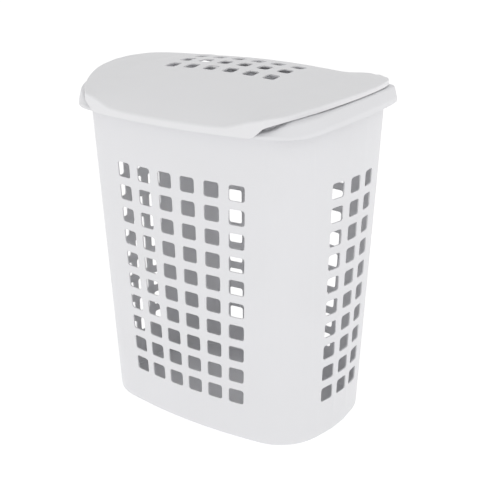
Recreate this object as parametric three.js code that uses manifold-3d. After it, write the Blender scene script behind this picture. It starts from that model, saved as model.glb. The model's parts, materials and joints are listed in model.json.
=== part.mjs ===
// Laundry hamper with a hinged, vented lid. Two white injection mouldings: a tapered basket whose rim
// turns out and down into a hollow band, arched at both ends as a grip, and a vaulted lid that clips
// on to two short pins behind the rim. Millimetres, +Z up, X along the length, front towards -Y,
// origin in the middle of the underside.
import * as THREE from 'three';
import { mergeGeometries, mergeVertices } from 'three/addons/utils/BufferGeometryUtils.js';
import Module from 'manifold-3d';

const wasm = await Module();
wasm.setup();

// Basket walls: four arcs joined by four corner arcs, at the underside and at the height of the rim.
const WALL = 2.2;
const RIM_HEIGHT = 560;
const FOOT = { halfLength: 220.8, halfWidth: 144.1, sideRadius: 847.6, endRadius: 270.4, cornerRadius: 84 };
const MOUTH = { halfLength: 242.6, halfWidth: 165.9, sideRadius: 1020, endRadius: 325.4, cornerRadius: 71.6 };
const FOOT_ROUNDING = 6;
const WALL_TOP = 530;
const FLOOR = 3;
const CORNER_STEPS = 6;

// Vent holes: rows of rounded squares, whose columns lean in with the walls.
const HOLE = { width: 28.5, height: 26, radius: 4.5 };
const HOLE_ROWS = 10;
const TOP_ROW_HEIGHT = 441.8;
const ROW_PITCH = 40;
const COLUMN_PITCH = 48.5;
const SIDE_COLUMNS = 6;
const END_COLUMNS = 3;
const COLUMN_LEAN = 0.169;

// Rim: the whole top edge slopes, lower at the front. Heights are at the middle of the depth.
const RIM_SLOPE = 0.047;
const RIM_REACH = 20;
const RIM_SHOULDER = 5;
const SKIRT_BOTTOM = 546.3;
const SIDE_RIM_TOP = 555;
const GRIP_TOP = 586.3;
const GRIP_ARCH = 0.00076;
const GRIP_FALL = 1;
const GRIP_FACE = 19;
const GRIP_SKIRT_LIFT = 10.5;
const GRIP_SKIRT_HALF = 140;
const GRIP_FROM_ANGLE = 84;
const GRIP_TO_ANGLE = 48;

// Lid: a vault with a raised middle, lips over the long sides, and arched edges over the grips.
const LID_WALL = 2.3;
const LID_CREST = 609.5;
const LID_BEND = { x: 0.00057, y: 0.0021, y4: 1.227e-8 };
const LID_REACH = 23.2;
const LID_SIDE = { top: 557.8, low: 546.3 };
const LID_CORNER = { x: 186, top: 577, topFrom: 100, low: 565, lowFrom: 156, cut: 6 };
const LID_END = { halfLength: 257.6, radius: 231, top: 596, low: 587.5, arch: 0.0006 };
const LID_EDGE_SOFTENING = 1.6;
const LID_SIDE_STATIONS = [186, 176, 162, 132, 100, 60, 20];
const LID_END_STATIONS = [0.17, 0.5, 0.8, 1];
const LID_RINGS = [0.25, 0.58, 0.68, 0.78, 0.9, 0.97];
const WING_FROM = 150;
const WING_TO = 192;
const LID_HOLE = { width: 23, height: 23, radius: 5 };
const LID_HOLE_ROWS = 3;
const LID_HOLE_COLUMNS = 6;
const LID_HOLE_PITCH = { x: 40.2, y: 39.2 };
const LID_HOLE_CUT = 60;

// Hinge: two pins held between lugs on the back of the rim, and an open hook on the lid for each.
const HINGE = { x: 110, y: 190.5, z: 555, pin: 2.5, bore: 2.9, hook: 5.4, hookWidth: 12 };
const LUG = { gap: 1, width: 3, radius: 4.5, root: 178.5 };
const HINGE_CLEARANCE = 12.4;
const HOOK_MOUTH = 3.8;
// The arm of a hook in Y and Z, measured from the axis of the pin.
const HOOK_ARM = [[-9.9, 11.5], [-9.9, 6.5], [-4.3, 1.5], [1, 5.2], [-7, 11.5]];
const CUT_MARGIN = 1;
const SEGMENTS = 16;

const smooth = THREE.MathUtils.smoothstep;
const mix = THREE.MathUtils.lerp;

function toSolid(geometry) {
  const bare = geometry.index ? geometry.toNonIndexed() : geometry.clone();
  bare.deleteAttribute('normal');
  bare.deleteAttribute('uv');
  const merged = mergeVertices(bare, 1e-4);
  return new wasm.Manifold(new wasm.Mesh({
    numProp: 3,
    vertProperties: new Float32Array(merged.attributes.position.array),
    triVerts: new Uint32Array(merged.index.array),
  }));
}

function toMesh(solid, name, material) {
  const { vertProperties, triVerts } = solid.getMesh();
  const geometry = new THREE.BufferGeometry();
  geometry.setAttribute('position', new THREE.BufferAttribute(vertProperties, 3));
  geometry.setIndex(new THREE.BufferAttribute(triVerts, 1));
  geometry.computeVertexNormals();
  const mesh = new THREE.Mesh(geometry, material);
  mesh.name = name;
  return mesh;
}

// A closed skin through rings of equal length, each end closed on a centre point.
function skin(startCentre, rings, endCentre) {
  const count = rings[0].length;
  const points = [startCentre, ...rings.flat(), endCentre];
  const last = points.length - 1;
  const at = (ring, i) => 1 + ring * count + (i % count);
  const faces = [];
  for (let i = 0; i < count; i++) {
    faces.push(0, at(0, i + 1), at(0, i));
    for (let ring = 0; ring < rings.length - 1; ring++) {
      faces.push(at(ring, i), at(ring, i + 1), at(ring + 1, i + 1));
      faces.push(at(ring, i), at(ring + 1, i + 1), at(ring + 1, i));
    }
    faces.push(last, at(rings.length - 1, i), at(rings.length - 1, i + 1));
  }
  const geometry = new THREE.BufferGeometry();
  geometry.setAttribute('position', new THREE.Float32BufferAttribute(points.flat(), 3));
  geometry.setIndex(faces);
  return geometry;
}

// The outline at a height: its four arcs, and the centre and the span of the corner arc.
function outlineAt(height) {
  const share = height / RIM_HEIGHT;
  const arcs = {};
  for (const key of Object.keys(FOOT)) arcs[key] = mix(FOOT[key], MOUTH[key], share);
  const sideCentre = new THREE.Vector2(0, arcs.halfWidth - arcs.sideRadius);
  const endCentre = new THREE.Vector2(arcs.halfLength - arcs.endRadius, 0);
  // The corner arc touches both arcs from inside, so its centre is where two circles cross.
  const toSide = arcs.sideRadius - arcs.cornerRadius;
  const toEnd = arcs.endRadius - arcs.cornerRadius;
  const between = endCentre.clone().sub(sideCentre);
  const span = between.length();
  const along = (toSide ** 2 - toEnd ** 2 + span ** 2) / (2 * span);
  const across = Math.sqrt(toSide ** 2 - along ** 2);
  const unit = between.divideScalar(span);
  const corner = sideCentre.clone().addScaledVector(unit, along);
  corner.add(new THREE.Vector2(unit.y, -unit.x).multiplyScalar(across));
  return {
    ...arcs, sideCentre, endCentre, corner,
    endAngle: corner.clone().sub(endCentre).angle(),
    sideAngle: corner.clone().sub(sideCentre).angle(),
  };
}

// Points round the outline at a height, moved out by an offset, with the angle of the wall's face.
// The flat stretches between points are the lanes that the columns of holes stand in.
function walk(height, offset) {
  const line = outlineAt(height);
  const lean = 1 - COLUMN_LEAN * (1 - height / RIM_HEIGHT);
  const quarter = [];
  const add = (centre, radius, angle) => quarter.push({
    x: centre.x + (radius + offset) * Math.cos(angle),
    y: centre.y + (radius + offset) * Math.sin(angle),
    angle,
  });
  for (let k = 1; k <= END_COLUMNS; k += 2) {
    add(line.endCentre, line.endRadius, Math.asin((k / 2) * COLUMN_PITCH * lean / line.endRadius));
  }
  for (let k = 0; k <= CORNER_STEPS; k++) {
    add(line.corner, line.cornerRadius, mix(line.endAngle, line.sideAngle, k / CORNER_STEPS));
  }
  for (let k = SIDE_COLUMNS / 2; k >= 0; k--) {
    add(line.sideCentre, line.sideRadius, Math.acos(k * COLUMN_PITCH * lean / line.sideRadius));
  }
  const back = quarter.slice(0, -1);
  const middle = quarter.slice(-1);
  const turned = (list, sx, sy) => list.map((p) => ({ ...p, x: sx * p.x, y: sy * p.y }));
  return [
    ...back, ...middle, ...turned(back, -1, 1).reverse(),
    ...turned(back, -1, -1), ...turned(middle, 1, -1), ...turned(back, 1, -1).reverse(),
  ];
}

const sloped = (p, height) => [p.x, p.y, height + RIM_SLOPE * p.y];

// How far a place on the rim belongs to a grip: 1 across the ends, 0 along the sides.
const gripShare = (p) => 1 - smooth(THREE.MathUtils.radToDeg(p.angle), GRIP_TO_ANGLE, GRIP_FROM_ANGLE);
const landHeight = (p) => mix(SIDE_RIM_TOP, GRIP_TOP - GRIP_ARCH * p.y ** 2, gripShare(p));
const shoulderHeight = (p) => landHeight(p) - GRIP_FALL * gripShare(p);
const faceBottom = (p) => shoulderHeight(p) - mix(RIM_SHOULDER, GRIP_FACE, gripShare(p));

function skirtHeight(p) {
  const lift = Math.max(0, 1 - (p.y / GRIP_SKIRT_HALF) ** 2);
  return SKIRT_BOTTOM + GRIP_SKIRT_LIFT * lift * gripShare(p);
}

function basketShell() {
  const level = (height, offset) => walk(height, offset).map((p) => [p.x, p.y, height]);
  const rim = (offset, heightOf) => walk(RIM_HEIGHT, offset).map((p) => sloped(p, heightOf(p)));
  const skirtInside = RIM_REACH - WALL;
  // The middle of a quarter circle stands this far in from its corner, both ways.
  const footCut = FOOT_ROUNDING * (1 - Math.SQRT1_2);
  return skin([0, 0, 0], [
    level(0, -FOOT_ROUNDING),
    level(footCut, -footCut),
    level(FOOT_ROUNDING, 0),
    level(WALL_TOP, 0),
    rim(0, (p) => landHeight(p) - WALL),
    rim(skirtInside - RIM_SHOULDER, (p) => shoulderHeight(p) - WALL),
    rim(skirtInside, faceBottom),
    rim(skirtInside, skirtHeight),
    rim(RIM_REACH, skirtHeight),
    rim(RIM_REACH, faceBottom),
    rim(RIM_REACH - RIM_SHOULDER, shoulderHeight),
    rim(-WALL, landHeight),
    level(WALL_TOP, -WALL),
    level(FOOT_ROUNDING, -WALL),
    level(FLOOR, -WALL - FOOT_ROUNDING / 2),
  ], [0, 0, FLOOR]);
}

function roundedSquare({ width, height, radius }) {
  const shape = new THREE.Shape();
  const x = width / 2 - radius;
  const y = height / 2 - radius;
  const corners = [[x, y, 0], [-x, y, 1], [-x, -y, 2], [x, -y, 3]];
  for (const [cx, cy, turn] of corners) {
    shape.absarc(cx, cy, radius, turn * Math.PI / 2, (turn + 1) * Math.PI / 2, false);
  }
  return shape;
}

// A bar of a section drawn in the plane across one axis, centred on the origin.
function bar(shape, length, axis) {
  const options = { depth: length, bevelEnabled: false, curveSegments: 1 };
  const geometry = new THREE.ExtrudeGeometry(shape, options);
  geometry.translate(0, 0, -length / 2);
  if (axis === 'x') geometry.rotateY(Math.PI / 2).rotateX(Math.PI / 2);
  if (axis === 'y') geometry.rotateX(Math.PI / 2);
  return geometry;
}

function ventBars(columns, axis) {
  const length = 2 * (MOUTH.halfLength + RIM_REACH);
  const bars = [];
  for (let row = 0; row < HOLE_ROWS; row++) {
    const height = TOP_ROW_HEIGHT - row * ROW_PITCH;
    const lean = 1 - COLUMN_LEAN * (1 - height / RIM_HEIGHT);
    for (let column = 0; column < columns; column++) {
      const across = (column - (columns - 1) / 2) * COLUMN_PITCH * lean;
      const geometry = bar(roundedSquare(HOLE), length, axis);
      bars.push(axis === 'y' ? geometry.translate(across, 0, height) : geometry.translate(0, across, height));
    }
  }
  return toSolid(mergeGeometries(bars));
}

// A shape drawn in Y and Z from the axis of the hinge, extruded along X about a middle.
function plateAlongX(points, middle, width) {
  const shape = new THREE.Shape(points.map(([y, z]) => new THREE.Vector2(HINGE.y + y, HINGE.z + z)));
  const geometry = new THREE.ExtrudeGeometry(shape, { depth: width, bevelEnabled: false });
  // Local x, y and z become world y, z and x.
  geometry.rotateX(Math.PI / 2).rotateZ(Math.PI / 2).translate(middle - width / 2, 0, 0);
  return toSolid(geometry);
}

function rodAlongX(radius, middle, length) {
  const geometry = new THREE.CylinderGeometry(radius, radius, length, SEGMENTS);
  geometry.rotateZ(Math.PI / 2).translate(middle, HINGE.y, HINGE.z);
  return toSolid(geometry);
}

function hingePin(middle) {
  const reach = HINGE.hookWidth / 2 + LUG.gap;
  const outline = [];
  for (let k = 0; k <= SEGMENTS / 2; k++) {
    const angle = Math.PI / 2 - k * Math.PI / (SEGMENTS / 2);
    outline.push([LUG.radius * Math.cos(angle), LUG.radius * Math.sin(angle)]);
  }
  outline.push([LUG.root - HINGE.y, 0], [LUG.root - HINGE.y, LUG.radius]);
  const lugAt = (side) => plateAlongX(outline, middle + side * (reach + LUG.width / 2), LUG.width);
  const lugs = [-1, 1].map(lugAt);
  return lugs[0].add(lugs[1]).add(rodAlongX(HINGE.pin, middle, 2 * reach + LUG.width));
}

// The outline of the lid: the long sides follow the rim, and each end is one shallow arc.
function lidOutline() {
  const line = outlineAt(RIM_HEIGHT);
  const sideRadius = line.sideRadius + LID_REACH;
  const sideY = (x) => line.sideCentre.y + Math.sqrt(sideRadius ** 2 - x ** 2);
  const endCentreX = LID_END.halfLength - LID_END.radius;
  const endX = (y) => endCentreX + Math.sqrt(LID_END.radius ** 2 - y ** 2);
  const cornerRadius = line.cornerRadius + LID_REACH;
  const cornerY = (x) => line.corner.y + Math.sqrt(cornerRadius ** 2 - (x - line.corner.x) ** 2);
  const edgeY = (x) => (x > line.corner.x ? Math.min(sideY(x), cornerY(x)) : sideY(x));
  const quarter = [];
  for (const share of LID_END_STATIONS) {
    const y = share * (edgeY(LID_CORNER.x) - LID_CORNER.cut);
    quarter.push({ x: endX(y), y, side: false });
  }
  for (const x of LID_SIDE_STATIONS) quarter.push({ x, y: edgeY(x), side: true });
  const turned = (list, sx, sy) => list.map((p) => ({ ...p, x: sx * p.x, y: sy * p.y }));
  return [
    ...quarter, ...turned(quarter, -1, 1).reverse(),
    ...turned(quarter, -1, -1), ...turned(quarter, 1, -1).reverse(),
  ];
}

// Height of the lid's outer face: a vault in the middle, lower wings beyond a soft step at each end.
function lidHeight(x, y) {
  const vault = LID_CREST - LID_BEND.x * x ** 2 / 2 - LID_BEND.y * y ** 2 / 2 - LID_BEND.y4 * y ** 4;
  const wing = LID_END.top - LID_END.arch * y ** 2;
  return mix(vault, wing, smooth(Math.abs(x), WING_FROM, WING_TO));
}

// Heights of the top and the bottom of the lip at a place on the lid's outline.
function lidEdge({ x, y, side }) {
  if (!side) return { top: LID_END.top - LID_END.arch * y ** 2, low: LID_END.low - GRIP_ARCH * y ** 2 };
  const rise = (from) => smooth(Math.abs(x), from, LID_CORNER.x);
  return {
    top: mix(LID_SIDE.top, LID_CORNER.top, rise(LID_CORNER.topFrom)),
    low: mix(LID_SIDE.low, LID_CORNER.low, rise(LID_CORNER.lowFrom)),
  };
}

function lidShell() {
  const outline = lidOutline();
  // A ring of the outline drawn in to a share of its size. The vault meets the edge without a step.
  const scaled = (share, drop) => outline.map((p) => {
    const x = p.x * share;
    const y = p.y * share;
    const step = lidHeight(p.x, p.y) - lidEdge(p).top;
    return sloped({ x, y }, lidHeight(x, y) - step * smooth(share, LID_RINGS[1], 1) - drop);
  });
  const inset = (distance, heightOf) => outline.map((p) => {
    const size = Math.hypot(p.x, p.y);
    const outward = p.side ? new THREE.Vector2(0, Math.sign(p.y)) : new THREE.Vector2(p.x / size, p.y / size);
    const q = { x: p.x - outward.x * distance, y: p.y - outward.y * distance };
    return sloped(q, heightOf(lidEdge(p)));
  });
  return skin([0, 0, LID_CREST - LID_WALL], [
    ...LID_RINGS.map((share) => scaled(share, LID_WALL)),
    inset(LID_WALL, (edge) => edge.top - LID_WALL),
    inset(LID_WALL, (edge) => edge.low),
    inset(0, (edge) => edge.low),
    inset(0, (edge) => edge.top - LID_EDGE_SOFTENING),
    ...LID_RINGS.toReversed().map((share) => scaled(share, 0)),
  ], [0, 0, LID_CREST]);
}

function lidVents() {
  const bars = [];
  for (let row = 0; row < LID_HOLE_ROWS; row++) {
    for (let column = 0; column < LID_HOLE_COLUMNS; column++) {
      const x = (column - (LID_HOLE_COLUMNS - 1) / 2) * LID_HOLE_PITCH.x;
      const y = (row - (LID_HOLE_ROWS - 1) / 2) * LID_HOLE_PITCH.y;
      bars.push(bar(roundedSquare(LID_HOLE), LID_HOLE_CUT, 'z').translate(x, y, LID_CREST));
    }
  }
  return toSolid(mergeGeometries(bars));
}

function hookOn(lid, middle) {
  const { hook, hookWidth } = HINGE;
  const hingeWidth = hookWidth + 2 * (LUG.gap + LUG.width);
  const cleared = lid.subtract(rodAlongX(HINGE_CLEARANCE, middle, hingeWidth + 2 * CUT_MARGIN));
  const half = HOOK_MOUTH / 2;
  const low = -hook - CUT_MARGIN;
  const cutWidth = hookWidth + 2 * CUT_MARGIN;
  const mouth = plateAlongX([[-half, low], [half, low], [half, 0], [-half, 0]], middle, cutWidth);
  const grip = rodAlongX(hook, middle, hookWidth).add(plateAlongX(HOOK_ARM, middle, hookWidth));
  return cleared.add(grip.subtract(rodAlongX(HINGE.bore, middle, cutWidth)).subtract(mouth));
}

const white = (roughness) => new THREE.MeshStandardMaterial({ color: 0xe9e9ec, roughness, metalness: 0 });

let basketSolid = toSolid(basketShell());
basketSolid = basketSolid.subtract(ventBars(SIDE_COLUMNS, 'y')).subtract(ventBars(END_COLUMNS, 'x'));
let lidSolid = toSolid(lidShell()).subtract(lidVents());
for (const middle of [-HINGE.x, HINGE.x]) {
  basketSolid = basketSolid.add(hingePin(middle));
  lidSolid = hookOn(lidSolid, middle);
}

const group = new THREE.Group();
group.add(toMesh(basketSolid, 'basket', white(0.45)));
group.add(toMesh(lidSolid, 'lid', white(0.4)));

export default group;
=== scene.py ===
"""A white laundry hamper: a vented basket, and a vaulted lid that swings up on two clips behind its rim."""
import json
import math

import bmesh
import bpy
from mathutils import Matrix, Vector


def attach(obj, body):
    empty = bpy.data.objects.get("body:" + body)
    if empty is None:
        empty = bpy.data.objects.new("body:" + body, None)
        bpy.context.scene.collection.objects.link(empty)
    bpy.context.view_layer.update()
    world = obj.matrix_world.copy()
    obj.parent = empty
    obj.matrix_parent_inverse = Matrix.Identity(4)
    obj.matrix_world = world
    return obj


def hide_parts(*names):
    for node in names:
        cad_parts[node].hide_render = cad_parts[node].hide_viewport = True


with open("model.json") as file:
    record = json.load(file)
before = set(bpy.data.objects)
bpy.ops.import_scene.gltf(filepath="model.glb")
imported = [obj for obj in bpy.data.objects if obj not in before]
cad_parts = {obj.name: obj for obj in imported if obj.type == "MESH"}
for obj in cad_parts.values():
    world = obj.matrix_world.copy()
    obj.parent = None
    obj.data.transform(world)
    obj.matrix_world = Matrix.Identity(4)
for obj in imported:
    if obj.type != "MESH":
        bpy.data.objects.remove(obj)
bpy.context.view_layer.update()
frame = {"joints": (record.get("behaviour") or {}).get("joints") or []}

# ---------------------------------------------------------------------------------------------
# The studio. A white room with a bright, glowing paper floor that lights the object evenly from below
# as well as above, and two weak, wide lamps to model it: one in front, one from the right end.
VIEW_AZIMUTH = math.radians(35.96)
VIEW_ELEVATION = math.radians(20.11)
VIEW_DISTANCE = 1.7557
VIEW_LENS = 71.2
VIEW_POINT = Vector((0.0199, 0.0145, 0.279))
FLOOR_SIZE = 40
LAMP_DISTANCE = 2.6
LAMP_WIDTH = 1.8


def looking_from(azimuth, elevation):
    """The direction from the object towards a viewer or a lamp."""
    level = math.cos(elevation)
    return Vector((math.sin(azimuth) * level, -math.cos(azimuth) * level, math.sin(elevation)))


def soft_light(name, azimuth, elevation, power):
    lamp = bpy.data.lights.new(name, "AREA")
    lamp.shape = "DISK"
    lamp.size = LAMP_WIDTH
    lamp.energy = power
    light = bpy.data.objects.new(name, lamp)
    direction = looking_from(math.radians(azimuth), math.radians(elevation))
    light.location = VIEW_POINT + direction * LAMP_DISTANCE
    light.rotation_euler = direction.to_track_quat("Z", "Y").to_euler()
    bpy.context.collection.objects.link(light)


camera_data = bpy.data.cameras.new("camera")
camera_data.lens = VIEW_LENS
camera = bpy.data.objects.new("camera", camera_data)
camera.location = VIEW_POINT + looking_from(VIEW_AZIMUTH, VIEW_ELEVATION) * VIEW_DISTANCE
camera.rotation_euler = (math.pi / 2 - VIEW_ELEVATION, 0, VIEW_AZIMUTH)
bpy.context.collection.objects.link(camera)
bpy.context.scene.camera = camera

soft_light("front_light", 10, 28, 2)
soft_light("end_light", 95, 15, 1.2)

world = bpy.data.worlds.new("white_room")
world.use_nodes = True
world.node_tree.nodes["Background"].inputs["Color"].default_value = (1, 1, 1, 1)
world.node_tree.nodes["Background"].inputs["Strength"].default_value = 0.78
bpy.context.scene.world = world
bpy.context.scene.view_settings.view_transform = "Standard"

floor_mesh = bpy.data.meshes.new("floor")
floor_bm = bmesh.new()
bmesh.ops.create_grid(floor_bm, x_segments=1, y_segments=1, size=FLOOR_SIZE / 2)
floor_bm.to_mesh(floor_mesh)
floor_bm.free()
floor = bpy.data.objects.new("floor", floor_mesh)
bpy.context.collection.objects.link(floor)
floor_paper = bpy.data.materials.new("floor_paper")
floor_paper.use_nodes = True
floor_surface = floor_paper.node_tree.nodes["Principled BSDF"]
floor_surface.inputs["Base Color"].default_value = (0.8, 0.8, 0.8, 1)
floor_surface.inputs["Roughness"].default_value = 0.9
floor_surface.inputs["Emission Color"].default_value = (1, 1, 1, 1)
floor_surface.inputs["Emission Strength"].default_value = 0.45
floor_mesh.materials.append(floor_paper)

# ---------------------------------------------------------------------------------------------
# The basket: one injection moulding in white polypropylene, 2.2 mm thick. Its walls taper to a flat
# floor and are punched all over by vents; at the top they turn out and down into a hollow rim that
# slopes to the front and arches at both ends as a grip. Behind the rim it carries the hinge pins.
WALL = 0.0022
RIM_HEIGHT = 0.560
FOOT = {"half_length": 0.2208, "half_width": 0.1441, "side": 0.8476, "end": 0.2704, "corner": 0.084}
MOUTH = {"half_length": 0.2426, "half_width": 0.1659, "side": 1.020, "end": 0.3254, "corner": 0.0716}
FOOT_ROUNDING = 0.006
WALL_TOP = 0.530
VENT_WIDTH = 0.0285
VENT_HEIGHT = 0.026
VENT_ROUNDING = 0.0045
VENT_CORNER_STEPS = 4
VENT_MARGIN = 0.005
VENT_ROWS = 10
VENT_TOP_ROW = 0.4418
VENT_ROW_PITCH = 0.040
VENT_COLUMN_PITCH = 0.0485
COLUMN_LEAN = 0.169
RIM_SLOPE = 0.047
RIM_REACH = 0.020
SKIRT_BOTTOM = 0.5463
SIDE_RIM_TOP = 0.555
RIM_SHOULDER = 0.005
GRIP_TOP = 0.5863
GRIP_ARCH = 0.76
GRIP_FALL = 0.001
GRIP_FACE = 0.019
GRIP_SKIRT_LIFT = 0.0105
GRIP_SKIRT_HALF = 0.140
GRIP_FROM_ANGLE = 84
GRIP_TO_ANGLE = 48
RIM_BENDS = (0.0025, 0.003, 0.0018)
RIM_BEND_STEPS = 3
CORNER_STEPS = 12
SEAM = 1e-5
# An across value past the end of any arc, which is cut back to where the corner begins.
BEYOND = 1


def mix(a, b, share):
    return a + (b - a) * share


def smooth(value, start, end):
    t = min(max((value - start) / (end - start), 0), 1)
    return t * t * (3 - 2 * t)


def outline_at(height):
    """The wall's outline: side, end and corner arcs, and where the corner arc starts and stops."""
    line = {key: mix(FOOT[key], MOUTH[key], height / RIM_HEIGHT) for key in FOOT}
    line["side_centre"] = Vector((0, line["half_width"] - line["side"]))
    line["end_centre"] = Vector((line["half_length"] - line["end"], 0))
    # The corner arc touches both others from inside, so its centre is where two circles cross.
    to_side = line["side"] - line["corner"]
    to_end = line["end"] - line["corner"]
    between = line["end_centre"] - line["side_centre"]
    span = between.length
    along = (to_side ** 2 - to_end ** 2 + span ** 2) / (2 * span)
    across = math.sqrt(to_side ** 2 - along ** 2)
    unit = between / span
    corner = line["side_centre"] + unit * along + Vector((unit.y, -unit.x)) * across
    line["corner_centre"] = corner
    from_end = corner - line["end_centre"]
    from_side = corner - line["side_centre"]
    line["end_angle"] = math.atan2(from_end.y, from_end.x)
    line["side_angle"] = math.atan2(from_side.y, from_side.x)
    return line


def on_wall(panel, across, height, offset):
    """A point of the outline moved out by an offset, and the way that the wall faces there."""
    line = outline_at(height)
    if panel == "side":
        centre, radius = line["side_centre"], line["side"]
        across = min(across, radius * math.cos(line["side_angle"]))
        angle = math.acos(across / radius)
    elif panel == "end":
        centre, radius = line["end_centre"], line["end"]
        limit = radius * math.sin(line["end_angle"])
        angle = math.asin(max(-limit, min(across, limit)) / radius)
    else:
        centre, radius = line["corner_centre"], line["corner"]
        angle = mix(line["end_angle"], line["side_angle"], across)
    place = centre + Vector((math.cos(angle), math.sin(angle))) * (radius + offset)
    return place, abs(angle)


def rim_heights(place, angle):
    """Heights of the rim's four folds, from its inner edge round to its lower edge. The ends are raised."""
    grip = 1 - smooth(math.degrees(angle), GRIP_TO_ANGLE, GRIP_FROM_ANGLE)
    top = mix(SIDE_RIM_TOP, GRIP_TOP - GRIP_ARCH * place.y ** 2, grip)
    shoulder = top - GRIP_FALL * grip
    face_bottom = shoulder - mix(RIM_SHOULDER, GRIP_FACE, grip ** 2)
    lift = GRIP_SKIRT_LIFT * max(0, 1 - (place.y / GRIP_SKIRT_HALF) ** 2)
    return top, shoulder, face_bottom, SKIRT_BOTTOM + lift * grip


# The moulding is first a flat blank. Up to the wall's top a mark on it is the real height, and the
# rim's four folds follow at even steps above.
RIM_OFFSETS = (-WALL, RIM_REACH - RIM_SHOULDER, RIM_REACH, RIM_REACH)
RIM_MARK = 0.6
RIM_MARK_STEP = 0.02
FOOT_STEPS = 4
FOOT_BEND = FOOT_ROUNDING - WALL


def fold(panel, across, mark):
    """The inner and upper face of the moulding, from a place on the flat blank."""
    if mark < (WALL_TOP + RIM_MARK) / 2:
        turn = math.asin(min(max(0, FOOT_ROUNDING - mark) / FOOT_BEND, 1))
        place, angle = on_wall(panel, across, mark, -WALL - FOOT_BEND * (1 - math.cos(turn)))
        return Vector((place.x, place.y, mark))
    step = round((mark - RIM_MARK) / RIM_MARK_STEP)
    place, angle = on_wall(panel, across, RIM_HEIGHT, RIM_OFFSETS[step])
    return Vector((place.x, place.y, rim_heights(place, angle)[step]))


def lean(mark):
    return 1 - COLUMN_LEAN * (1 - min(mark, RIM_HEIGHT) / RIM_HEIGHT)


def punched_sheet(columns, rows, place, is_vent, margin, rounding):
    """A flat sheet on a grid of columns and rows, with a rounded vent punched in each vent cell."""
    bm = bmesh.new()
    wide, high = len(columns) - 1, len(rows) - 1
    bmesh.ops.create_grid(bm, x_segments=wide, y_segments=high, size=0.5)
    cells = []
    for face in bm.faces:
        middle = face.calc_center_median()
        if is_vent(int((middle.x + 0.5) * wide), int((middle.y + 0.5) * high)):
            cells.append(face)
    for vert in bm.verts:
        column = columns[round((vert.co.x + 0.5) * wide)]
        row = rows[round((vert.co.y + 0.5) * high)]
        vert.co = place(column, row)
    if cells:
        bmesh.ops.inset_individual(bm, faces=cells, thickness=margin, use_even_offset=True)
        corners = [vert for face in cells for vert in face.verts]
        bmesh.ops.bevel(
            bm, geom=corners, offset=rounding, offset_type="OFFSET", segments=VENT_CORNER_STEPS,
            profile=0.5, affect="VERTICES", material=-1)
        punched = [face for face in bm.faces if len(face.verts) >= 4 * (VENT_CORNER_STEPS + 1)]
        bmesh.ops.delete(bm, geom=punched, context="FACES")
    return bm


def add_sheet(target, sheet):
    """Joins a finished sheet on to another, along the border that they share."""
    mesh = bpy.data.meshes.new("sheet")
    sheet.to_mesh(mesh)
    sheet.free()
    target.from_mesh(mesh)
    bpy.data.meshes.remove(mesh)
    bmesh.ops.remove_doubles(target, verts=target.verts, dist=SEAM)


def vent_borders(columns):
    """Both borders of each column's cells: the column's middle, and how far the border stands from it."""
    half = VENT_WIDTH / 2 + VENT_MARGIN
    return [(middle, side * half) for middle in columns for side in (-1, 1)]


def blank_rows():
    turns = [math.pi / 2 * k / FOOT_STEPS for k in range(FOOT_STEPS + 1)]
    rows = [FOOT_ROUNDING - FOOT_BEND * math.cos(turn) for turn in turns]
    half = VENT_HEIGHT / 2 + VENT_MARGIN
    for row in reversed(range(VENT_ROWS)):
        middle = VENT_TOP_ROW - row * VENT_ROW_PITCH
        rows += [middle - half, middle + half]
    rows += [mix(rows[-1], WALL_TOP, 0.5), WALL_TOP]
    return rows + [RIM_MARK + k * RIM_MARK_STEP for k in range(len(RIM_OFFSETS))]


basket_rows = blank_rows()
first_vent_row = FOOT_STEPS + 1
last_vent_row = first_vent_row + 2 * VENT_ROWS - 2


def is_wall_vent(column, row):
    """Every other cell is a vent, and the cells between are the ribs."""
    in_rows = first_vent_row <= row <= last_vent_row and (row - first_vent_row) % 2 == 0
    return in_rows and column % 2 == 1


def leaning(column, row):
    return Vector((column[0] * lean(row) + column[1], row, 0))


def on_corner(column, row):
    return Vector((column, row, 0))


side_middles = [(k + 0.5) * VENT_COLUMN_PITCH for k in range(3)]
end_middles = [k * VENT_COLUMN_PITCH for k in (-1, 0, 1)]
side_columns = [(0, 0)] + vent_borders(side_middles) + [(BEYOND, 0)]
end_columns = [(-BEYOND, 0)] + vent_borders(end_middles) + [(BEYOND, 0)]
corner_columns = [k / CORNER_STEPS for k in range(CORNER_STEPS + 1)]


def no_vent(column, row):
    return False


basket_bm = bmesh.new()
basket_bm.verts.layers.float.new("mark")


def add_panel(name, columns, place, is_vent):
    sheet = punched_sheet(columns, basket_rows, place, is_vent, VENT_MARGIN, VENT_ROUNDING)
    layer = sheet.verts.layers.float.new("mark")
    for vert in sheet.verts:
        vert[layer] = vert.co.y
        vert.co = fold(name, vert.co.x, vert.co.y)
    add_sheet(basket_bm, sheet)


def mirror_sheet(bm, axis):
    """Adds the other half of a sheet, joined along the middle."""
    bmesh.ops.mirror(bm, geom=bm.verts[:] + bm.edges[:] + bm.faces[:], axis=axis, merge_dist=SEAM)
    bmesh.ops.remove_doubles(bm, verts=bm.verts, dist=SEAM)


def ring_at(bm, layer, mark):
    return [edge for edge in bm.edges if all(abs(vert[layer] - mark) < SEAM for vert in edge.verts)]


def bend_along(bm, edges, width, steps):
    """Rounds a fold of the sheet."""
    bmesh.ops.recalc_face_normals(bm, faces=bm.faces)
    bmesh.ops.bevel(
        bm, geom=edges, offset=width, offset_type="OFFSET", segments=steps, profile=0.5,
        affect="EDGES", material=-1)


def face_up(bm, face):
    """Turns all faces of a sheet the same way, with this one upwards."""
    bmesh.ops.recalc_face_normals(bm, faces=bm.faces)
    if face.normal.z < 0:
        bmesh.ops.reverse_faces(bm, faces=bm.faces)


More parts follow.
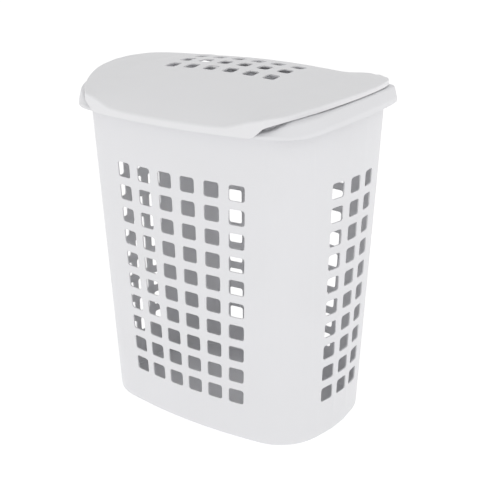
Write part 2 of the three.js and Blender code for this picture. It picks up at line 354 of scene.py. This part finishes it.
add_panel("side", side_columns, leaning, is_wall_vent)
add_panel("corner", corner_columns, on_corner, no_vent)
mirror_sheet(basket_bm, "Y")
add_panel("end", end_columns, leaning, is_wall_vent)
mirror_sheet(basket_bm, "X")
for vert in basket_bm.verts:
    if vert.co.z > WALL_TOP + SEAM:
        vert.co.z += RIM_SLOPE * vert.co.y
mark_layer = basket_bm.verts.layers.float["mark"]
for step, bend in enumerate(RIM_BENDS):
    folded = ring_at(basket_bm, mark_layer, RIM_MARK + step * RIM_MARK_STEP)
    bend_along(basket_bm, folded, bend, RIM_BEND_STEPS)
floor_edge = ring_at(basket_bm, mark_layer, basket_rows[0])
floor_face = bmesh.ops.contextual_create(basket_bm, geom=floor_edge)["faces"][0]
face_up(basket_bm, floor_face)
bmesh.ops.solidify(basket_bm, geom=basket_bm.faces[:], thickness=WALL)
bmesh.ops.recalc_face_normals(basket_bm, faces=basket_bm.faces)

# The hinge pins stand between pairs of lugs behind the rim, moulded in one with it.
HINGE = Vector(frame["joints"][0]["pos_m"])
HINGE_X = 0.110
PIN_RADIUS = 0.0025
HOOK_WIDTH = 0.012
LUG_GAP = 0.001
LUG_WIDTH = 0.003
LUG_RADIUS = 0.0045
LUG_ROOT = 0.1785
LUG_STEPS = 8
PIN_SIDES = 24


def plate_along_x(bm, points, middle, width):
    """A flat plate drawn in Y and Z from the hinge's axis, as wide as asked about a middle."""
    ring = [bm.verts.new((middle - width / 2, HINGE.y + y, HINGE.z + z)) for y, z in points]
    side = bm.faces.new(ring)
    swept = bmesh.ops.extrude_face_region(bm, geom=[side])["geom"]
    moved = [item for item in swept if isinstance(item, bmesh.types.BMVert)]
    bmesh.ops.translate(bm, verts=moved, vec=(width, 0, 0))


def pin_between(bm, middle, radius, length):
    turned = Vector((0, 0, 1)).rotation_difference(Vector((1, 0, 0))).to_matrix().to_4x4()
    turned.translation = (middle, HINGE.y, HINGE.z)
    bmesh.ops.create_cone(
        bm, cap_ends=True, segments=PIN_SIDES, radius1=radius, radius2=radius, depth=length, matrix=turned)


def arc(radius, start, end, steps):
    angles = [math.radians(mix(start, end, k / steps)) for k in range(steps + 1)]
    return [(radius * math.cos(angle), radius * math.sin(angle)) for angle in angles]


reach = HOOK_WIDTH / 2 + LUG_GAP
root = LUG_ROOT - HINGE.y
for middle in (-HINGE_X, HINGE_X):
    for side in (-1, 1):
        outline = arc(LUG_RADIUS, -90, 90, LUG_STEPS) + [(root, LUG_RADIUS), (root, 0)]
        plate_along_x(basket_bm, outline, middle + side * (reach + LUG_WIDTH / 2), LUG_WIDTH)
    pin_between(basket_bm, middle, PIN_RADIUS, 2 * reach + LUG_WIDTH)
bmesh.ops.recalc_face_normals(basket_bm, faces=basket_bm.faces)

EDGE_SOFTENING = 0.0005
SHARP_ANGLE = 40


def finished_piece(name, bm):
    """The moulding as an object, with every sharp edge softened as a mould's edges are."""
    mesh = bpy.data.meshes.new(name)
    for face in bm.faces:
        face.smooth = True
    bm.to_mesh(mesh)
    bm.free()
    piece = bpy.data.objects.new(name, mesh)
    bpy.context.collection.objects.link(piece)
    soften = piece.modifiers.new("softened edges", "BEVEL")
    soften.width = EDGE_SOFTENING
    soften.segments = 2
    soften.limit_method = "ANGLE"
    soften.angle_limit = math.radians(SHARP_ANGLE)
    soften.miter_outer = "MITER_ARC"
    shade = piece.modifiers.new("even shading", "WEIGHTED_NORMAL")
    shade.keep_sharp = False
    return piece


basket = finished_piece("basket_moulding", basket_bm)


def moulded_surface():
    """Fine mould grain, slow changes of tone, and rubbed, duller edges, from places on the object."""
    group = bpy.data.node_groups.new("moulded_surface", "ShaderNodeTree")
    face = group.interface
    for name, kind, direction in (
            ("Tone", "NodeSocketColor", "INPUT"), ("Rubbed Tone", "NodeSocketColor", "INPUT"),
            ("Gloss", "NodeSocketFloat", "INPUT"), ("Rubbed Gloss", "NodeSocketFloat", "INPUT"),
            ("Color", "NodeSocketColor", "OUTPUT"), ("Roughness", "NodeSocketFloat", "OUTPUT"),
            ("Height", "NodeSocketFloat", "OUTPUT")):
        face.new_socket(name=name, in_out=direction, socket_type=kind)
    nodes, links = group.nodes, group.links
    given = nodes.new("NodeGroupInput")
    result = nodes.new("NodeGroupOutput")
    place = nodes.new("ShaderNodeTexCoord")

    def noise(scale, detail):
        node = nodes.new("ShaderNodeTexNoise")
        node.inputs["Scale"].default_value = scale
        node.inputs["Detail"].default_value = detail
        links.new(place.outputs["Object"], node.inputs["Vector"])
        return node.outputs["Fac"]

    def ranged(value, low, high, to_low, to_high):
        node = nodes.new("ShaderNodeMapRange")
        links.new(value, node.inputs["Value"])
        for socket, number in zip(("From Min", "From Max", "To Min", "To Max"), (low, high, to_low, to_high)):
            node.inputs[socket].default_value = number
        return node.outputs["Result"]

    def calculated(operation, a, b):
        node = nodes.new("ShaderNodeMath")
        node.operation = operation
        for socket, value in zip(node.inputs, (a, b)):
            if isinstance(value, float):
                socket.default_value = value
            else:
                links.new(value, socket)
        return node.outputs["Value"]

    def blended(share, a, b):
        node = nodes.new("ShaderNodeMix")
        node.data_type = "RGBA"
        links.new(share, node.inputs["Factor"])
        links.new(a, node.inputs["A"])
        links.new(b, node.inputs["B"])
        return node.outputs["Result"]

    # Rubbed edges: where the surface turns within a millimetre, broken up by a coarse noise.
    turned = nodes.new("ShaderNodeBevel")
    turned.samples = 4
    turned.inputs["Radius"].default_value = 0.0012
    true_face = nodes.new("ShaderNodeNewGeometry")
    agree = nodes.new("ShaderNodeVectorMath")
    agree.operation = "DOT_PRODUCT"
    links.new(turned.outputs["Normal"], agree.inputs[0])
    links.new(true_face.outputs["Normal"], agree.inputs[1])
    edge = ranged(agree.outputs["Value"], 0.98, 0.86, 0.0, 1.0)
    rubbed = calculated("MULTIPLY", edge, ranged(noise(55, 3), 0.42, 0.62, 0.1, 0.9))

    cloud = ranged(noise(7, 2), 0.3, 0.7, 0.0, 0.35)
    toned = blended(calculated("MAXIMUM", rubbed, cloud), given.outputs["Tone"], given.outputs["Rubbed Tone"])
    links.new(toned, result.inputs["Color"])
    scuff = calculated("MAXIMUM", rubbed, ranged(noise(30, 5), 0.45, 0.75, 0.0, 0.5))
    gloss = nodes.new("ShaderNodeMix")
    links.new(scuff, gloss.inputs["Factor"])
    links.new(given.outputs["Gloss"], gloss.inputs["A"])
    links.new(given.outputs["Rubbed Gloss"], gloss.inputs["B"])
    links.new(gloss.outputs["Result"], result.inputs["Roughness"])
    grain = calculated("MULTIPLY", noise(1400, 2), 0.35)
    waves = calculated("MULTIPLY", noise(110, 2), 0.65)
    links.new(calculated("ADD", grain, waves), result.inputs["Height"])
    return group


MOULDED_SURFACE = moulded_surface()


def white_plastic(name, tone, rubbed_tone, gloss, rubbed_gloss, grain):
    """White polypropylene as it leaves the mould: satin, a little cloudy, with a very fine grain."""
    material = bpy.data.materials.new(name)
    material.use_nodes = True
    nodes, links = material.node_tree.nodes, material.node_tree.links
    surface = nodes["Principled BSDF"]
    finish = nodes.new("ShaderNodeGroup")
    finish.node_tree = MOULDED_SURFACE
    finish.inputs["Tone"].default_value = (*tone, 1)
    finish.inputs["Rubbed Tone"].default_value = (*rubbed_tone, 1)
    finish.inputs["Gloss"].default_value = gloss
    finish.inputs["Rubbed Gloss"].default_value = rubbed_gloss
    bump = nodes.new("ShaderNodeBump")
    bump.inputs["Strength"].default_value = grain
    bump.inputs["Distance"].default_value = 0.0002
    links.new(finish.outputs["Height"], bump.inputs["Height"])
    links.new(finish.outputs["Color"], surface.inputs["Base Color"])
    links.new(finish.outputs["Roughness"], surface.inputs["Roughness"])
    links.new(bump.outputs["Normal"], surface.inputs["Normal"])
    surface.inputs["IOR"].default_value = 1.49
    return material


# The basket and the lid are one and the same plastic. The basket's tone is set a little apart from the lid's
# as painted light, for the different light on the basket's sides and the lid's top.
basket.data.materials.append(white_plastic(
    "basket_plastic", (0.80, 0.80, 0.82), (0.76, 0.76, 0.77), 0.42, 0.55, 0.25))
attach(basket, "basket")
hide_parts("basket")

# ---------------------------------------------------------------------------------------------
# The lid: one white moulding, a vault with a vented middle, 2.3 mm thick. Lips hang over the front and
# the back of the rim, and the raised ends arch over the grips. Two hooks behind it hold the pins.
LID_WALL = 0.0023
LID_CREST = 0.6095
LID_BEND_X = 0.57
LID_BEND_Y = 2.1
LID_BEND_Y4 = 12.27
LID_REACH = 0.0232
LID_SIDE_TOP = 0.5578
LID_SIDE_LOW = 0.5463
LID_CORNER_X = 0.186
LID_CORNER_TOP = 0.577
LID_CORNER_TOP_FROM = 0.100
LID_CORNER_LOW = 0.565
LID_CORNER_LOW_FROM = 0.156
LID_END_X = 0.2576
LID_END_RADIUS = 0.231
LID_END_TOP = 0.596
LID_END_LOW = 0.5875
LID_END_ARCH = 0.6
WING_FROM = 0.150
WING_TO = 0.192
LID_VENT = 0.023
LID_VENT_MARGIN = 0.004
LID_VENT_ROUNDING = 0.005
LID_PITCH_X = 0.0402
LID_PITCH_Y = 0.0392
LID_STEPS_X = 16
LID_STEPS_Y = 14
LID_LAST_STEPS_X = 3
LID_LAST_STEPS_Y = 2
LID_SETTLING = 12
LID_CORNER_FROM_Y = 0.120
LID_CORNER_TO_Y = 0.168
LID_EASE_FROM_SIDE = 0.6
LID_EASE_FROM_END = 0.85
LID_CORNER_ROUNDING = 0.004
LID_CORNER_STEPS = 4
LID_EDGE_BEND = 0.003
LID_BEND_STEPS = 5

HOOK_BORE = 0.0029
HOOK_RADIUS = 0.0054
HOOK_MOUTH = 0.0038
HOOK_OUTER_STEPS = 24
HOOK_BORE_STEPS = 20
HOOK_ARM = [(-0.0099, 0.0135), (-0.0099, 0.0065), (-0.0043, 0.0015), (0.001, 0.0052), (-0.005, 0.0125)]

mouth = outline_at(RIM_HEIGHT)


def lid_side_y(x):
    """Half the lid's depth at a place along it, following the rim."""
    radius = mouth["side"] + LID_REACH
    y = mouth["side_centre"].y + math.sqrt(radius ** 2 - x ** 2)
    centre = mouth["corner_centre"]
    if x > centre.x:
        radius = mouth["corner"] + LID_REACH
        y = min(y, centre.y + math.sqrt(max(0, radius ** 2 - (x - centre.x) ** 2)))
    return y


def lid_end_x(y):
    return LID_END_X - LID_END_RADIUS + math.sqrt(LID_END_RADIUS ** 2 - y ** 2)


def lid_edge(x, y):
    """Height of the lid's edge nearest to a place: along a side, and along an end."""
    rise = smooth(abs(x), LID_CORNER_TOP_FROM, LID_CORNER_X)
    side = mix(LID_SIDE_TOP, LID_CORNER_TOP, rise)
    drop = smooth(abs(y), LID_CORNER_FROM_Y, LID_CORNER_TO_Y)
    end = mix(LID_END_TOP - LID_END_ARCH * y ** 2, LID_CORNER_TOP, drop)
    return side, end


def vault_and_wings(x, y):
    vault = LID_CREST - LID_BEND_X * x ** 2 / 2 - LID_BEND_Y * y ** 2 / 2 - LID_BEND_Y4 * y ** 4
    wing = LID_END_TOP - LID_END_ARCH * y ** 2
    return mix(vault, wing, smooth(abs(x), WING_FROM, WING_TO))


def lid_height(x, y):
    """The lid's upper face. The vault and the wings are eased into the edge lines."""
    side_y = lid_side_y(abs(x))
    end_x = lid_end_x(y)
    side_edge, end_edge = lid_edge(x, y)
    side_step = side_edge - vault_and_wings(x, side_y)
    end_step = end_edge - vault_and_wings(end_x, y)
    to_side = smooth(min(abs(y), side_y) / side_y, LID_EASE_FROM_SIDE, 1)
    to_end = smooth(min(abs(x), end_x) / end_x, LID_EASE_FROM_END, 1)
    shared = (side_step + end_step) / 2 * to_side * to_end
    return vault_and_wings(x, y) + side_step * to_side + end_step * to_end - shared


def lid_low(x, y):
    """How low the turned-down edge reaches at a place on it."""
    side = mix(LID_SIDE_LOW, LID_CORNER_LOW, smooth(abs(x), LID_CORNER_LOW_FROM, LID_CORNER_X))
    end = LID_END_LOW - GRIP_ARCH * y ** 2
    return mix(side, end, smooth(abs(x), LID_CORNER_X - LID_CORNER_ROUNDING, LID_CORNER_X))


def lid_place(column, row):
    """Straight rows and columns in the vented middle, easing out to the curved edge."""
    x, y = column[0], abs(row[0])
    for _ in range(LID_SETTLING):
        x = column[0] + column[1] * (lid_end_x(y) - column[0])
        y = abs(row[0]) + row[1] * (lid_side_y(x) - abs(row[0]))
    return Vector((x, math.copysign(y, row[0]), 0))


def lid_borders(middles):
    half = LID_VENT / 2 + LID_VENT_MARGIN
    return [(middle + side * half, 0) for middle in middles for side in (-1, 1)]


def edge_shares(steps, last):
    """Even steps out to the edge. The last is as long as several, to leave room for the rounded corner."""
    return [k / steps for k in range(1, steps - last + 1)] + [1]


lid_columns = [(0, 0)] + lid_borders([(k + 0.5) * LID_PITCH_X for k in range(3)])
lid_columns += [(lid_columns[-1][0], share) for share in edge_shares(LID_STEPS_X, LID_LAST_STEPS_X)]
lid_rows = lid_borders([k * LID_PITCH_Y for k in (-1, 0, 1)])
outer_row = lid_rows[-1][0]
outer_rows = edge_shares(LID_STEPS_Y, LID_LAST_STEPS_Y)
lid_rows = [(-outer_row, k) for k in reversed(outer_rows)] + lid_rows + [(outer_row, k) for k in outer_rows]


def is_lid_vent(column, row):
    return column in (1, 3, 5) and row - len(outer_rows) in (0, 2, 4)


lid_bm = punched_sheet(lid_columns, lid_rows, lid_place, is_lid_vent, LID_VENT_MARGIN, LID_VENT_ROUNDING)
corners = [vert for vert in lid_bm.verts if len(vert.link_edges) == 2 and vert.co.x > WING_FROM]
bmesh.ops.bevel(
    lid_bm, geom=corners, offset=LID_CORNER_ROUNDING, offset_type="OFFSET", segments=LID_CORNER_STEPS,
    profile=0.5, affect="VERTICES", material=-1)
# The outer edge, without the edges of the vents and the middle line that the halves join along.
rim_edges = [
    edge for edge in lid_bm.edges if edge.is_boundary
    and (abs(edge.verts[0].co.y) > outer_row or edge.verts[0].co.x > WING_FROM)
    and max(vert.co.x for vert in edge.verts) > SEAM]
for vert in lid_bm.verts:
    vert.co.z = lid_height(vert.co.x, vert.co.y) + RIM_SLOPE * vert.co.y
turned_down = bmesh.ops.extrude_edge_only(lid_bm, edges=rim_edges)["geom"]
for vert in turned_down:
    if isinstance(vert, bmesh.types.BMVert):
        vert.co.z = lid_low(vert.co.x, vert.co.y) + RIM_SLOPE * vert.co.y
bend_along(lid_bm, rim_edges, LID_EDGE_BEND, LID_BEND_STEPS)
mirror_sheet(lid_bm, "X")
lid_bm.faces.ensure_lookup_table()
top_face = max(lid_bm.faces, key=lambda face: face.calc_center_median().z)
face_up(lid_bm, top_face)
bmesh.ops.solidify(lid_bm, geom=lid_bm.faces[:], thickness=LID_WALL)

# Each hook is a ring open at the bottom, on an arm that reaches out from under the lid.
outer_gap = math.degrees(math.asin(HOOK_MOUTH / 2 / HOOK_RADIUS))
inner_gap = math.degrees(math.asin(HOOK_MOUTH / 2 / HOOK_BORE))
hook_outline = arc(HOOK_RADIUS, outer_gap - 90, 270 - outer_gap, HOOK_OUTER_STEPS)
hook_outline += arc(HOOK_BORE, 270 - inner_gap, inner_gap - 90, HOOK_BORE_STEPS)
for middle in (-HINGE_X, HINGE_X):
    plate_along_x(lid_bm, hook_outline, middle, HOOK_WIDTH)
    plate_along_x(lid_bm, HOOK_ARM, middle, HOOK_WIDTH)
bmesh.ops.recalc_face_normals(lid_bm, faces=lid_bm.faces)

lid = finished_piece("lid_moulding", lid_bm)
# The lid's tone is a little lighter than the basket's. This is painted light: both are the same plastic, and
# only the light on them differs.
lid.data.materials.append(white_plastic(
    "lid_plastic", (0.83, 0.83, 0.845), (0.79, 0.79, 0.80), 0.38, 0.52, 0.25))
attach(lid, "lid")
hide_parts("lid")
